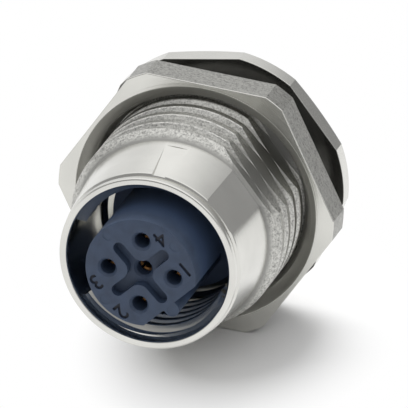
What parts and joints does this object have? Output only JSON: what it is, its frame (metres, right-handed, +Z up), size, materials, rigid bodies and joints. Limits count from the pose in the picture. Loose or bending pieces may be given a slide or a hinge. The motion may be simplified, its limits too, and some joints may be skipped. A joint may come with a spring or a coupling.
{
  "type": "m12 panel socket connector",
  "caption": "Round metal-shelled female panel socket with an M12 quick-lock cup, keyed contact carrier, rear hex flange, panel seal and hex lock nut.",
  "frame": {"origin": "on the plug axis, in the face of the rear flange that seals against the panel", "axes": "+Y along the plug axis towards the solder ends, so the mating face looks towards -Y; +Z up as the socket lies; contact 1 points towards +X and contact 4 towards +Z"},
  "size_m": [0.021, 0.0221, 0.0194],
  "materials": {
    "nickel": "nickel-plated brass, satin bright",
    "nickel_nut": "nickel-plated brass, satin",
    "seal_rubber": "matte black seal rubber",
    "carrier_plastic": "matte blue-black moulded plastic",
    "gold_plating": "gold-plated copper alloy"
  },
  "bodies": {
    "socket": {"housing": "nickel", "flange_seal": "seal_rubber", "contact_carrier": "carrier_plastic", "carrier_seal": "seal_rubber", "contact_retainer": "carrier_plastic", "retaining_ring": "nickel", "socket_contact_1": "gold_plating", "socket_contact_2": "gold_plating", "socket_contact_3": "gold_plating", "socket_contact_4": "gold_plating", "socket_contact_5": "gold_plating"},
    "nut": {"lock_nut": "nickel_nut"}
  },
  "joints": [
    {"name": "nut_travel", "type": "slide", "parent": "socket", "child": "nut", "axis": [0, -1, 0], "range_m": [-0.0019, 0.0072]}
  ]
}
